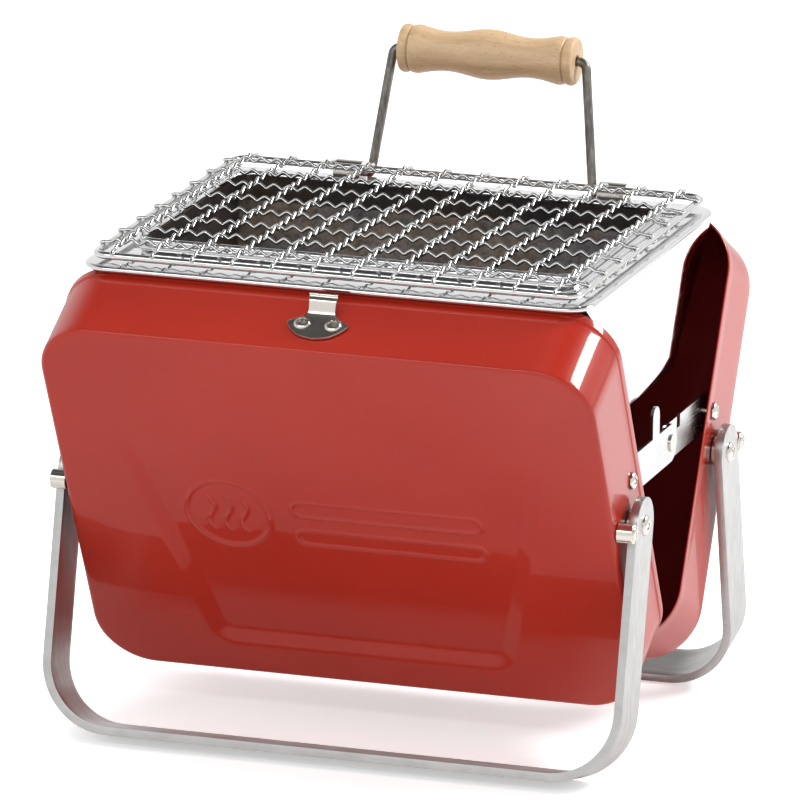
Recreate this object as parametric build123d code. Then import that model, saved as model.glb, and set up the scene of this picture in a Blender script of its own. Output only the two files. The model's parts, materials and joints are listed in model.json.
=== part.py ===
from build123d import *
import os
from math import cos, radians, sin

# Folding tabletop charcoal grill, open on its legs.
# Millimetres. X runs along the case, -Y is the front, +Z is up, Z = 0 is the ground.
# The two half-shells stand in a V about the hinge pin. The origin is on the ground,
# at the centre of the whole object's footprint box.

# ---- driving dimensions -------------------------------------------------------------
HINGE_Y = -4.289         # hinge pin ahead of the box's centre: the handle leans out behind
HINGE_Z = 45.0           # hinge pin above the ground
TILT = 27.5              # each half-shell's lean from vertical
CASE_W = 304.0           # along X
CASE_TOP = 241.0         # hinge pin to the outside of a half-shell's top wall
CASE_BOTTOM = 3.85       # hinge pin to the outside of its bottom wall
CASE_DEPTH = 50.5        # rim plane to the outside of its face
RIM_GAP = 0.2            # each rim's distance from the closing plane
WALL = 1.0               # sheet thickness
CORNER_R = 32.0
FACE_R = 3.5

HINGE_LEN = 240.0
KNUCKLES = 12
KNUCKLE_R = 3.8
PIN_R = 1.6
LEAF_T = 1.4
LEAF_DEPTH = 18.0

LEG_W = 30.0             # strap width
LEG_T = 4.5              # strap thickness
LEG_OUT = 160.0          # centre to the strap's outer face
LEG_BEND_R = 38.0        # outside of the strap's lower bends
LEG_SPLAY = 13.0         # each leg's lean from vertical
LEG_PIVOT = (-26.5, 117.3)    # y, z in a closed, upright half-shell
PIVOT_R = 2.5
RUN = 0.05               # radial running clearance

STOP_R = 5.3
STOP_LEN = 8.4
STAY_PIVOT = (-13.5, 135.8)   # y, z in a closed, upright half-shell
STAY_W = 20.5
STAY_T = 1.6
STAY_JOINT_Y = 5.0            # the stay's centre rivet, from the hinge plane
TAB_Y, TAB_RISE, TAB_R = -23.0, 20.8, 6.0     # finger tab on the front link
FRONT_STAY_X = 147.2          # inner face of the link on the front shell
REAR_STAY_X = 145.3           # inner face of the link on the rear shell

FLANGE_Z = 260.1              # top of the firebox's top frame
FLANGE_T = 1.2
FLANGE = (278.0, 238.0)
FLANGE_R = 16.0
OPENING = (238.0, 160.0)
OPENING_R = 10.0
LIP_T = 2.2
LIP_TOP = 267.5
TRAY_BOTTOM_Z = 200.0
TRAY_FLOOR = (216.0, 100.0)
SKIRT_BOTTOM_Z = 189.5

WIRE_R = 0.9
ROD_R = 2.0
GRATE = (264.0, 230.0)        # rod centre to rod centre
GRATE_CORNER_R = 8.0
CROSS_WIRES, CROSS_PITCH = 12, 22.0   # front-to-back wires
LONG_WIRES, LONG_PITCH = 8, 28.0      # left-to-right wires

HANDLE_PIVOT = (-24.0, 251.0)  # y, z in a closed, upright half-shell
HANDLE_LEAN = 10.0             # rest lean from vertical, backwards
HANDLE_WIRE_R = 2.5
HANDLE_HALF = 63.0
HANDLE_RISE = 70.7
GRIP_LEN = 99.0
SADDLE_X, SADDLE_LEN, SADDLE_R = 75.0, 15.0, 7.5

LATCH_PIN = (-20.0, 246.0)     # y, z in a closed, upright half-shell
LOOP_PIN = (-29.0, 249.6)
LOOP_WIRE_R = 1.2

HALF_W = CASE_W / 2
INNER_X = HALF_W - WALL


# ---- placing ------------------------------------------------------------------------
def in_front(shape):
    """Put a shape made in the closed, upright front half into the open front half."""
    return Pos(0, HINGE_Y, HINGE_Z) * Rot(X=TILT) * shape


def in_rear(shape):
    """Put the mirror image of a shape made in the closed front half in the rear half."""
    return Pos(0, HINGE_Y, HINGE_Z) * Rot(X=-TILT) * mirror(shape, about=Plane.XZ)


def opened(point):
    """Where a (y, z) point of the closed front half goes in the open one, hinge at Y 0."""
    y, z = point
    a = radians(TILT)
    return (y * cos(a) - z * sin(a), HINGE_Z + y * sin(a) + z * cos(a))


def both_sides(shape):
    return [shape, mirror(shape, about=Plane.YZ)]


def x_cylinder(radius, x0, x1, y=0.0, z=0.0):
    length = x1 - x0
    return Pos((x0 + x1) / 2, y, z) * Rot(Y=90) * Cylinder(radius, length)


def x_screw(shank_r, head_r, head_h, x_head, x_end, y, z, nut_r, nut_h):
    """A screw along X: a domed head outside x_head and a thin nut inside x_end."""
    head = x_cylinder(head_r, x_head, x_head + head_h, y, z)
    rim = head.edges().group_by(Axis.X)[-1]
    head = fillet(rim, head_h * 0.7)
    nut = x_cylinder(nut_r, x_end - nut_h, x_end, y, z)
    return head + x_cylinder(shank_r, x_end - nut_h, x_head, y, z) + nut


def z_rivet(shank_r, head_r, head_h, z_head, z_end, x, y, tail_r, tail_h):
    """A rivet along Z: a domed head above z_head and a flat tail below z_end."""
    head = Pos(x, y, z_head + head_h / 2) * Cylinder(head_r, head_h)
    head = fillet(head.edges().group_by(Axis.Z)[-1], head_h * 0.7)
    length = z_head - z_end + tail_h
    shank = Pos(x, y, z_head - length / 2) * Cylinder(shank_r, length)
    tail = Pos(x, y, z_end - tail_h / 2) * Cylinder(tail_r, tail_h)
    return head + shank + tail


# ---- half-shells --------------------------------------------------------------------
SIDE_HOLES = [
    (STAY_PIVOT, 2.05),
    (LEG_PIVOT, PIVOT_R + RUN),
]
KEEPER_SCREWS = [(-8.4, -31.0), (8.4, -31.0)]
SADDLE_RIVETS = [(s * SADDLE_X, HANDLE_PIVOT[0] + d) for s in (-1, 1) for d in (-12.5, 12.5)]
LATCH_RIVETS = [(0.0, -12.5), (0.0, -34.0)]
HINGE_RIVETS = [(-100, -11), (-60, -11), (-20, -11), (20, -11), (60, -11), (100, -11)]


def stop_pin_place():
    """(y, z) of the stop pin in the closed half: it touches the leg's outer edge."""
    a = radians(LEG_SPLAY)
    reach = LEG_W / 2 + STOP_R + RUN
    along = 4.0
    dy = -reach * cos(a) - along * sin(a)
    dz = reach * sin(a) - along * cos(a)
    t = radians(-TILT)
    return (
        LEG_PIVOT[0] + dy * cos(t) - dz * sin(t),
        LEG_PIVOT[1] + dy * sin(t) + dz * cos(t),
    )


def pan(inset):
    """A half-shell's envelope, pulled in by inset on every side but the rim."""
    height = CASE_TOP - CASE_BOTTOM
    start = RIM_GAP if inset == 0 else RIM_GAP - 1.0
    depth = CASE_DEPTH - inset - start
    middle = CASE_BOTTOM + height / 2
    plane = Plane(origin=(0, -start, middle), x_dir=(1, 0, 0), z_dir=(0, -1, 0))
    outline = RectangleRounded(CASE_W - 2 * inset, height - 2 * inset, CORNER_R - inset)
    body = extrude(plane * outline, amount=depth)
    return fillet(body.edges().group_by(Axis.Y)[0], FACE_R - inset)


def half_shell(top_holes):
    shell = pan(0) - pan(WALL)
    sy, sz = stop_pin_place()
    for (y, z), r in SIDE_HOLES + [((sy, sz), 2.05)]:
        shell -= x_cylinder(r, -HALF_W - 1, HALF_W + 1, y, z)
    for x, y in top_holes:
        shell -= Pos(x, y, CASE_TOP) * Cylinder(1.75, 6)
    for x, y in HINGE_RIVETS:
        shell -= Pos(x, y, CASE_BOTTOM) * Cylinder(1.6, 6)
    return shell


# ---- hinge --------------------------------------------------------------------------
def hinge_leaf(first):
    """A leaf under the bottom wall, with every second knuckle from number first."""
    step = HINGE_LEN / KNUCKLES
    z = KNUCKLE_R - LEAF_T / 2
    inner = -(KNUCKLE_R + 0.4)
    width = LEAF_DEPTH + inner
    leaf = Pos(0, inner - width / 2, z) * Box(HINGE_LEN, width, LEAF_T)
    for k in range(first, KNUCKLES, 2):
        x0 = -HINGE_LEN / 2 + k * step + 0.15
        x1 = x0 + step - 0.3
        leaf += Pos((x0 + x1) / 2, inner / 2, z) * Box(x1 - x0, -inner, LEAF_T)
        leaf += x_cylinder(KNUCKLE_R, x0, x1)
    leaf -= x_cylinder(PIN_R + RUN, -HINGE_LEN, HINGE_LEN)
    for x, y in HINGE_RIVETS:
        leaf -= Pos(x, y, z) * Cylinder(1.6, 4)
    return leaf


def hinge_pin():
    half = HINGE_LEN / 2 + 1.5
    return x_cylinder(PIN_R, -half, half)


def hinge_rivets():
    under = KNUCKLE_R - LEAF_T
    inside = CASE_BOTTOM + WALL
    return [
        Pos(0, 0, under + inside) * Rot(X=180) * z_rivet(1.5, 3.2, 1.1, inside, under, x, -y, 2.6, 0.9)
        for x, y in HINGE_RIVETS
    ]


# ---- legs ---------------------------------------------------------------------------
def leg_drop():
    """Pivot to the underside of the foot, so that the foot's inner edge is at Z = 0."""
    a = radians(LEG_SPLAY)
    pivot_z = opened(LEG_PIVOT)[1]
    return (pivot_z - LEG_W / 2 * sin(a)) / cos(a)


def leg_frame(y, z, splay):
    return Pos(0, HINGE_Y + y, z) * Rot(X=splay)


def leg_strap():
    """The bent strap with its pivot at the origin, hanging straight down."""
    drop = leg_drop()
    top = LEG_W / 2
    height = drop + top
    plane = Plane.XZ.offset(-LEG_W / 2)
    outer = Pos(0, (top - drop) / 2) * Rectangle(2 * LEG_OUT, height)
    outer = fillet(outer.vertices().group_by(Axis.Y)[0], LEG_BEND_R)
    inner_w = 2 * (LEG_OUT - LEG_T)
    inner = Pos(0, (top - drop) / 2 + LEG_T) * Rectangle(inner_w, height)
    inner = fillet(inner.vertices().group_by(Axis.Y)[0], LEG_BEND_R - LEG_T)
    strap = extrude(plane * (outer - inner), amount=LEG_W)
    side = Circle(LEG_W / 2) + Pos(0, -(drop + 5) / 2) * Rectangle(LEG_W, drop + 5)
    envelope = extrude(Plane.YZ.offset(-LEG_OUT - 1) * side, amount=2 * LEG_OUT + 2)
    strap = strap & envelope
    return strap - x_cylinder(PIVOT_R + RUN, -LEG_OUT - 1, LEG_OUT + 1)


def front_leg():
    y, z = opened(LEG_PIVOT)
    return leg_frame(y, z, -LEG_SPLAY) * leg_strap()


def rear_leg():
    y, z = opened(LEG_PIVOT)
    return leg_frame(-y, z, LEG_SPLAY) * leg_strap()


def leg_screws():
    y, z = LEG_PIVOT
    return both_sides(x_screw(PIVOT_R, 5.5, 2.3, LEG_OUT + RUN, INNER_X, y, z, 4.5, 1.0))


def leg_washers():
    y, z = LEG_PIVOT
    outer = LEG_OUT - LEG_T - RUN
    ring = x_cylinder(8.0, HALF_W, outer, y, z) - x_cylinder(PIVOT_R + RUN, HALF_W, outer, y, z)
    return both_sides(ring)


def stop_pins():
    y, z = stop_pin_place()
    end = HALF_W + STOP_LEN
    pin = x_cylinder(STOP_R, HALF_W, end, y, z)
    pin = fillet(pin.edges().group_by(Axis.X)[-1], 0.5)
    return both_sides(pin - x_cylinder(2.05, HALF_W, end, y, z))


def stop_screws():
    y, z = stop_pin_place()
    return both_sides(x_screw(2.0, 4.0, 1.4, HALF_W + STOP_LEN, INNER_X, y, z, 2.6, 1.0))


# ---- folding stays ------------------------------------------------------------------
def stay_screws(link_x):
    """Shouldered screws through the side walls that carry the links at link_x."""
    y, z = STAY_PIVOT
    outer = link_x + STAY_T + RUN
    screw = x_screw(2.0, 4.8, 2.0, HALF_W, link_x - RUN, y, z, 3.5, 1.0)
    return both_sides(screw + x_cylinder(4.0, outer, INNER_X, y, z))


def link(x, start, end):
    """A flat link from start to end, both (y, z), with round ends and its inner face at x."""
    (y0, z0), (y1, z1) = start, end
    line = SlotCenterToCenter(((y1 - y0) ** 2 + (z1 - z0) ** 2) ** 0.5, STAY_W)
    tilt = Vector(y1 - y0, z1 - z0, 0)
    middle = Pos((y0 + y1) / 2, (z0 + z1) / 2) * Rot(Z=tilt.get_signed_angle(Vector(-1, 0, 0)) * -1)
    return extrude(Plane.YZ.offset(x) * middle * line, amount=STAY_T)


def stay_joint():
    return (STAY_JOINT_Y, opened(STAY_PIVOT)[1])


def front_stay():
    start, joint = opened(STAY_PIVOT), stay_joint()
    bar = link(FRONT_STAY_X, start, joint)
    tab = Pos(TAB_Y, joint[1] + TAB_RISE / 2) * Rectangle(2 * TAB_R, TAB_RISE)
    tab += Pos(TAB_Y, joint[1] + TAB_RISE) * Circle(TAB_R)
    bar += extrude(Plane.YZ.offset(FRONT_STAY_X) * tab, amount=STAY_T)
    bar -= x_cylinder(2.0 + RUN, 100, 200, *start)
    bar -= x_cylinder(2.1, 100, 200, *joint)
    return Pos(0, HINGE_Y, 0) * bar


def rear_stay():
    y, z = opened(STAY_PIVOT)
    joint = stay_joint()
    bar = link(REAR_STAY_X, (-y, z), joint)
    bar -= x_cylinder(2.0 + RUN, 100, 200, -y, z)
    bar -= x_cylinder(2.6, 100, 200, *joint)
    notch_y = joint[0] + 19
    bar -= Pos(REAR_STAY_X, notch_y, z + STAY_W / 2) * Box(8, 6, 13)
    return Pos(0, HINGE_Y, 0) * bar


def stay_rivet():
    """The centre rivet, fixed in the front link and flush with its inner face."""
    y, z = stay_joint()
    outer = FRONT_STAY_X + STAY_T
    rivet = x_cylinder(2.1, FRONT_STAY_X, outer, y, z) + x_cylinder(4.6, outer, outer + 1.0, y, z)
    return Pos(0, HINGE_Y, 0) * rivet


# ---- firebox ------------------------------------------------------------------------
def rounded_block(size, radius, z0, z1):
    return extrude(Pos(0, HINGE_Y, z0) * RectangleRounded(*size, radius), amount=z1 - z0)


def top_frame():
    """The flange that sits on both rims, with a raised lip round its opening."""
    lip = (OPENING[0] + 2 * LIP_T, OPENING[1] + 2 * LIP_T)
    plate = rounded_block(FLANGE, FLANGE_R, FLANGE_Z - FLANGE_T, FLANGE_Z)
    frame = plate + rounded_block(lip, OPENING_R + LIP_T, FLANGE_Z - FLANGE_T, LIP_TOP)
    frame -= rounded_block(OPENING, OPENING_R, FLANGE_Z - 5, LIP_TOP + 1)
    frame = fillet(frame.edges().group_by(Axis.Z)[-1], 0.9)
    hem_y = FLANGE[1] / 2 - 1.5
    hem_x = FLANGE[0] - 2 * FLANGE_R
    for side in (-1, 1):
        hem_z = FLANGE_Z - FLANGE_T - 0.6
        frame += Pos(0, HINGE_Y + side * hem_y, hem_z) * Box(hem_x, 3.0, 1.2)
    return frame


def tray_solid(inset):
    """The tray's envelope, pulled in by inset: straight at the top, tapered below."""
    knee = FLANGE_Z - 8
    top = (OPENING[0] - 0.4 - 2 * inset, OPENING[1] - 0.4 - 2 * inset)
    floor = (TRAY_FLOOR[0] - 2 * inset, TRAY_FLOOR[1] - 2 * inset)
    radius = OPENING_R - inset
    upper = Pos(0, HINGE_Y, knee) * RectangleRounded(*top, radius)
    lower = Pos(0, HINGE_Y, TRAY_BOTTOM_Z + inset) * RectangleRounded(*floor, radius)
    collar = extrude(upper, amount=LIP_TOP - 1 - knee + 2 * inset)
    return loft([lower.face(), upper.face()]) + collar


def firebox_tray():
    tray = tray_solid(0) - tray_solid(WALL)
    for k in range(9):
        x = (k - 4) * 22.0
        hole = Pos(x, HINGE_Y, TRAY_BOTTOM_Z + 26) * Rot(X=90) * Cylinder(4, 2 * OPENING[1])
        tray -= hole
    return tray


def side_skirts():
    """The bright side plates, as wide as the V between the rims allows."""
    x = FLANGE[0] / 2
    top, bottom = FLANGE_Z - FLANGE_T, SKIRT_BOTTOM_Z
    outline = Polyline((-102, top), (102, top), (37, bottom), (-37, bottom), close=True)
    plate = extrude(Plane.YZ.offset(x - WALL) * make_face(outline), amount=WALL)
    return both_sides(Pos(0, HINGE_Y, 0) * plate)


def charcoal_grate():
    """A slotted plate on four feet, just above the tray's floor."""
    z0 = TRAY_BOTTOM_Z + 14
    plate = rounded_block((212, 106), 8, z0, z0 + 1.2)
    for k in range(11):
        plate -= Pos((k - 5) * 18.0, HINGE_Y, z0) * Box(8, 80, 6)
    for x in (-99, 99):
        for y in (-44, 44):
            foot_h = z0 - TRAY_BOTTOM_Z - WALL
            plate += Pos(x, HINGE_Y + y, z0 - foot_h / 2) * Cylinder(2.5, foot_h)
    return plate


# ---- cooking grate ------------------------------------------------------------------
CROSS_Z = LIP_TOP + 0.05 + WIRE_R
LONG_Z = CROSS_Z + 2 * WIRE_R + 0.1
ROD_Z = CROSS_Z - WIRE_R - ROD_R


def grate_frame():
    outline = Pos(0, HINGE_Y, ROD_Z) * RectangleRounded(*GRATE, GRATE_CORNER_R)
    path = outline.wires()[0]
    start = Plane(origin=path @ 0, z_dir=path % 0)
    return sweep(start * Circle(ROD_R), path=path)


def grate_cross_wires():
    length = GRATE[1] + 2 * ROD_R
    first = -(CROSS_WIRES - 1) / 2 * CROSS_PITCH
    wire = Rot(X=90) * Cylinder(WIRE_R, length)
    return [Pos(first + k * CROSS_PITCH, HINGE_Y, CROSS_Z) * wire for k in range(CROSS_WIRES)]


def grate_long_wires():
    """Wires over the cross wires, with their ends turned down on to the side rods."""
    half = GRATE[0] / 2
    first = -(LONG_WIRES - 1) / 2 * LONG_PITCH
    drop = LONG_Z - ROD_Z - ROD_R
    wires = []
    for k in range(LONG_WIRES):
        y = HINGE_Y + first + k * LONG_PITCH
        wire = x_cylinder(WIRE_R, -half - WIRE_R, half + WIRE_R, y, LONG_Z)
        for side in (-1, 1):
            wire += Pos(side * half, y, LONG_Z - drop / 2) * Cylinder(WIRE_R, drop)
        wires.append(wire)
    return wires


# ---- handle -------------------------------------------------------------------------
def handle_frame():
    y, z = opened(HANDLE_PIVOT)
    return Pos(0, HINGE_Y - y, z) * Rot(X=-HANDLE_LEAN)


def handle_wire():
    """The bail: turned-out feet, two legs that lean in, and a bar through the grip."""
    foot_x = SADDLE_X + SADDLE_LEN / 2 - 2
    top_x = GRIP_LEN / 2 + 5
    points = [(foot_x, 0, 0), (HANDLE_HALF, 0, 0), (top_x, 0, HANDLE_RISE), (-top_x, 0, HANDLE_RISE)]
    points += [(-HANDLE_HALF, 0, 0), (-foot_x, 0, 0)]
    path = FilletPolyline(*points, radius=4.5)
    start = Plane(origin=path @ 0, z_dir=path % 0)
    return handle_frame() * sweep(start * Circle(HANDLE_WIRE_R), path=path)


def handle_grip():
    """A turned grip: end discs and beads, narrow waists and a full middle."""
    half = GRIP_LEN / 2
    right = [(half, 12.0), (half - 2.5, 13.2), (half - 5.8, 12.3), (half - 8, 12.8)]
    right += [(half - 10.5, 13.2), (half - 15, 12.3), (half - 25, 11.0), (half - 37, 12.3)]
    middle = [(0, 13.8)]
    left = [(-x, r) for x, r in reversed(right)]
    curve = Spline(*(right + middle + left))
    ends = Polyline((-half, 12.0), (-half, 0), (half, 0), (half, 12.0))
    profile = Plane.XZ * make_face(curve + ends)
    grip = revolve(profile, Axis.X)
    grip -= x_cylinder(HANDLE_WIRE_R + 0.07, -half - 1, half + 1)
    return handle_frame() * Pos(0, 0, HANDLE_RISE) * grip


def handle_saddles():
    y, z = HANDLE_PIVOT
    x0, x1 = SADDLE_X - SADDLE_LEN / 2, SADDLE_X + SADDLE_LEN / 2
    rise = z - CASE_TOP
    hump = x_cylinder(SADDLE_R, x0, x1, y, z)
    hump += Pos(SADDLE_X, y, CASE_TOP + rise / 2) * Box(SADDLE_LEN, 2 * SADDLE_R, rise)
    base = Pos(SADDLE_X, y, CASE_TOP + 0.6) * Box(SADDLE_LEN, 34, 1.2)
    base = fillet(base.edges().filter_by(Axis.Z), 6)
    saddle = hump + base - x_cylinder(HANDLE_WIRE_R + RUN, x0 - 1, x1 + 1, y, z)
    for d in (-12.5, 12.5):
        saddle -= Pos(SADDLE_X, y + d, CASE_TOP + 1) * Cylinder(1.75, 6)
    return both_sides(saddle)


def top_rivets(places, plate_t, head_r=3.4, head_h=1.5):
    """Rivets or screws through a plate on the top wall, at the given (x, y) places."""
    head_z, end_z = CASE_TOP + plate_t, CASE_TOP - WALL
    return [z_rivet(1.7, head_r, head_h, head_z, end_z, x, y, 2.8, 1.0) for x, y in places]


# ---- latch --------------------------------------------------------------------------
def latch_keeper():
    """A half-moon plate on the front top wall, with a hooked tongue towards the rim."""
    disc = Circle(17) & (Pos(0, -10) * Rectangle(40, 20))
    plate = extrude(Pos(0, -25, CASE_TOP) * disc, amount=1.2)
    for x, y in KEEPER_SCREWS:
        plate -= Pos(x, y, CASE_TOP) * Cylinder(1.75, 6)
    z = CASE_TOP
    side = Polyline(
        (-26, z), (-24, z), (-19, z + 5), (-17.2, z + 5.8), (-16.2, z + 7), (-17, z + 8),
        (-19.4, z + 6.8), (-24.6, z + 1.2), (-26, z + 1.2), close=True,
    )
    tongue = extrude(Plane.YZ.offset(-7.5) * make_face(side), amount=15)
    return plate + tongue


def latch_base():
    y, z = LATCH_PIN
    plate = Pos(0, -22, CASE_TOP + 0.6) * Box(24, 36, 1.2)
    for side in (-1, 1):
        rise = z - CASE_TOP
        ear = Pos(side * 11, y, CASE_TOP + rise / 2) * Box(1.4, 7, rise)
        plate += ear + x_cylinder(3.5, side * 11 - 0.7, side * 11 + 0.7, y, z)
    plate -= x_cylinder(1.5, -20, 20, y, z)
    for x, ry in LATCH_RIVETS:
        plate -= Pos(x, ry, CASE_TOP) * Cylinder(1.75, 6)
    return plate


def latch_pin():
    return x_cylinder(1.5, -12.4, 12.4, *LATCH_PIN)


def latch_lever():
    """The draw lever: a barrel on the pin, a plate to the rear and two cheeks."""
    y, z = LATCH_PIN
    ly, lz = LOOP_PIN
    lever = x_cylinder(2.6, -9.8, 9.8, y, z)
    lever += Pos(0, y - 12.5, z) * Box(19.6, 25, 1.2)
    for side in (-1, 1):
        cheek = Pos(side * 9.1, ly, (z + lz) / 2) * Box(1.4, 5.2, lz - z)
        lever += cheek + x_cylinder(2.6, side * 9.1 - 0.7, side * 9.1 + 0.7, ly, lz)
    lever -= x_cylinder(1.5 + RUN, -20, 20, y, z)
    return lever - x_cylinder(LOOP_WIRE_R + RUN, -20, 20, ly, lz)


def latch_loop():
    """The wire loop: two feet in the lever's cheeks and a bar that hooks the keeper."""
    y, z = LOOP_PIN
    far = y - 24
    points = [(9.7, y, z), (6.5, y, z), (6.5, far, z), (-6.5, far, z), (-6.5, y, z), (-9.7, y, z)]
    path = FilletPolyline(*points, radius=1.5)
    start = Plane(origin=path @ 0, z_dir=path % 0)
    return sweep(start * Circle(LOOP_WIRE_R), path=path)


# ---- writing ------------------------------------------------------------------------
def save(node, solids):
    group = solids if isinstance(solids, list) else [solids]
    whole = group[0] if len(group) == 1 else Compound(children=group)
    export_step(whole, f"parts/{node}.step")


def save_cases():
    front_holes, rear_holes = KEEPER_SCREWS, SADDLE_RIVETS + LATCH_RIVETS
    save("front_shell", in_front(half_shell(front_holes)))
    save("rear_shell", in_rear(half_shell(rear_holes)))
    save("front_hinge_leaf", in_front(hinge_leaf(0)))
    save("rear_hinge_leaf", in_rear(hinge_leaf(1)))
    save("hinge_pin", in_rear(hinge_pin()))
    shared = {
        "hinge_rivets": hinge_rivets(),
        "leg_screws": leg_screws(),
        "leg_washers": leg_washers(),
        "stop_pins": stop_pins(),
        "stop_screws": stop_screws(),
    }
    for name, solids in shared.items():
        save(f"front_{name}", [in_front(s) for s in solids])
        save(f"rear_{name}", [in_rear(s) for s in solids])
    save("front_stay_screws", [in_front(s) for s in stay_screws(FRONT_STAY_X)])
    save("rear_stay_screws", [in_rear(s) for s in stay_screws(REAR_STAY_X)])


def save_legs_and_stays():
    save("front_leg", front_leg())
    save("rear_leg", rear_leg())
    pieces = {"front_stay": front_stay(), "rear_stay": rear_stay(), "stay_rivet": stay_rivet()}
    for name, right in pieces.items():
        save(f"right_{name}", right)
        save(f"left_{name}", mirror(right, about=Plane.YZ))


def save_firebox():
    save("firebox_top_frame", top_frame())
    save("firebox_tray", firebox_tray())
    save("firebox_side_skirts", side_skirts())
    save("charcoal_grate", charcoal_grate())
    save("grate_frame_rod", grate_frame())
    save("grate_cross_wires", grate_cross_wires())
    save("grate_long_wires", grate_long_wires())


def save_handle_and_latch():
    save("handle_wire", handle_wire())
    save("handle_grip", handle_grip())
    save("handle_saddles", [in_rear(s) for s in handle_saddles()])
    save("saddle_rivets", [in_rear(s) for s in top_rivets(SADDLE_RIVETS, 1.2)])
    save("latch_keeper", in_front(latch_keeper()))
    save("keeper_screws", [in_front(s) for s in top_rivets(KEEPER_SCREWS, 1.2, 4.5, 2.0)])
    save("latch_base", in_rear(latch_base()))
    save("latch_rivets", [in_rear(s) for s in top_rivets(LATCH_RIVETS, 1.2)])
    save("latch_pin", in_rear(latch_pin()))
    save("latch_lever", in_rear(latch_lever()))
    save("latch_loop", in_rear(latch_loop()))


os.makedirs("parts", exist_ok=True)
save_cases()
save_legs_and_stays()
save_firebox()
save_handle_and_latch()
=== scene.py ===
import json
from math import cos, pi, radians, sin, sqrt

import bmesh
import bpy
import numpy as np
from mathutils import Matrix, Vector


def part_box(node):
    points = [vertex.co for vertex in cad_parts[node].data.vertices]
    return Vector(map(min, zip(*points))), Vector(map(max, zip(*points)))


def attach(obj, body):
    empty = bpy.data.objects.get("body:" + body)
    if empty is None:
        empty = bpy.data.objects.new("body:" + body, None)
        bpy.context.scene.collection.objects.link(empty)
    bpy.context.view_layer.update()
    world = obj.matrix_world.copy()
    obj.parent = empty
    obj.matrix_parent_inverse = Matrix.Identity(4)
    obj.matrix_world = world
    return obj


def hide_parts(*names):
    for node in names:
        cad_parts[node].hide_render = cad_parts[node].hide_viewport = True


# A folding tabletop charcoal grill, open on its two strap legs.
# Lengths below are in metres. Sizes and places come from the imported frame; the values
# named here are the ones a bounding box can't give.

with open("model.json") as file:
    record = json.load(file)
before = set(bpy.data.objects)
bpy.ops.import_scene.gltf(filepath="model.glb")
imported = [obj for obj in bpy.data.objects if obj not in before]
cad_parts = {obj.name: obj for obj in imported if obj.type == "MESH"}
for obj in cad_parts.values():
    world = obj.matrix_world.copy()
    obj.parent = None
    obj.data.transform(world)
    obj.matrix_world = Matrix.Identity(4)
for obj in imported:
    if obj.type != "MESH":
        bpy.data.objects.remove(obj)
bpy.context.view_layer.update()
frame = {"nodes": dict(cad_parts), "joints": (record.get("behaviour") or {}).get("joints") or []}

MM = 0.001
JOINTS = {joint["name"]: joint for joint in frame["joints"]}
HINGE = Vector(JOINTS["case_fold"]["pos_m"])
TILT = radians(JOINTS["case_fold"]["range_deg"][1] / 2)
LEG_SPLAY = radians(13)

# The half-shells
CORNER_R = 32 * MM
EDGE_R = 2.6 * MM            # between the face and the walls
SHEET_T = 0.9 * MM
WALL_STEP = 0.6 * MM         # the walls stand in from the band round the rim
BAND = 5.0 * MM              # width of that band
BAND_EASE = 1.6 * MM         # length of the step between the two
FRONT_STEP, REAR_STEP = 0.85 * MM, 2.4 * MM

# The pressed panel in each face, measured up from the hinge pin
PANEL_BOTTOM, PANEL_TOP = 25 * MM, 170 * MM
PANEL_HALF, PANEL_FLARE = 83 * MM, 0.25
PANEL_CORNER_R = 12 * MM
PANEL_DEPTH, PANEL_FACET = 4.4 * MM, 8.6 * MM
EMBLEM = (-62 * MM, 118.5 * MM, 23 * MM)           # x, z and radius of the ring
RIBS_X = (-26 * MM, 78 * MM)
RIBS_Z = (126 * MM, 106 * MM)
RIB_R = 5 * MM
EMBOSS = (0.75 * MM, 1.0 * MM)                    # height and half width of a raised line
WAVE_GAP, WAVE_HALF = 9 * MM, 11.5 * MM
WAVE_SWAY, WAVE_PERIOD = 2.2 * MM, 3.6 * MM

# Legs, wire and firebox
STRAP_T, STRAP_BEND_R = 4.5 * MM, 38 * MM
WIRE_R, CRIMP = 0.9 * MM, 1.2 * MM
CRIMPS_PER_MESH = 2.5
CRIMP_STEP, CRIMP_FADE, ROD_APPROACH = 0.75 * MM, 6 * MM, 2.2 * MM
LONG_WRAP, CROSS_WRAP = radians(48), radians(66)   # how far the wire ends bend over the rod
FLANGE_R, OPENING_R = 16 * MM, 10 * MM
HEM_R, BEAD_R = 1.15 * MM, 1.45 * MM
HEM_DROP = 2.4 * MM                               # from the flange down to the hem's edge
FLANGE_T, SKIRT_T = 0.5 * MM, 0.9 * MM
SKIRT_FOOT = 37 * MM                              # half the side plate's lower edge
SKIRT_LUG, SKIRT_CREASE = 5.5 * MM, -84 * MM
KEEPER_ARC = 12.4 * MM


# ---- meshes ---------------------------------------------------------------------------
def make_object(name, vertices, faces, materials, smooth_angle=35):
    mesh = bpy.data.meshes.new(name)
    mesh.from_pydata([tuple(v) for v in vertices], [], faces)
    for material in materials:
        mesh.materials.append(material)
    piece = bpy.data.objects.new(name, mesh)
    bpy.context.scene.collection.objects.link(piece)
    tidy_mesh(piece, smooth_angle)
    return piece


def tidy_mesh(piece, smooth_angle):
    """Merge doubles, point the normals outwards and mark the sharp edges."""
    work = bmesh.new()
    work.from_mesh(piece.data)
    bmesh.ops.remove_doubles(work, verts=work.verts, dist=1e-6)
    bmesh.ops.dissolve_degenerate(work, edges=work.edges, dist=1e-7)
    bmesh.ops.recalc_face_normals(work, faces=work.faces)
    limit = radians(smooth_angle)
    for face in work.faces:
        face.smooth = True
    for edge in work.edges:
        edge.smooth = len(edge.link_faces) == 2 and edge.calc_face_angle(0) < limit
    work.to_mesh(piece.data)
    work.free()


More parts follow.
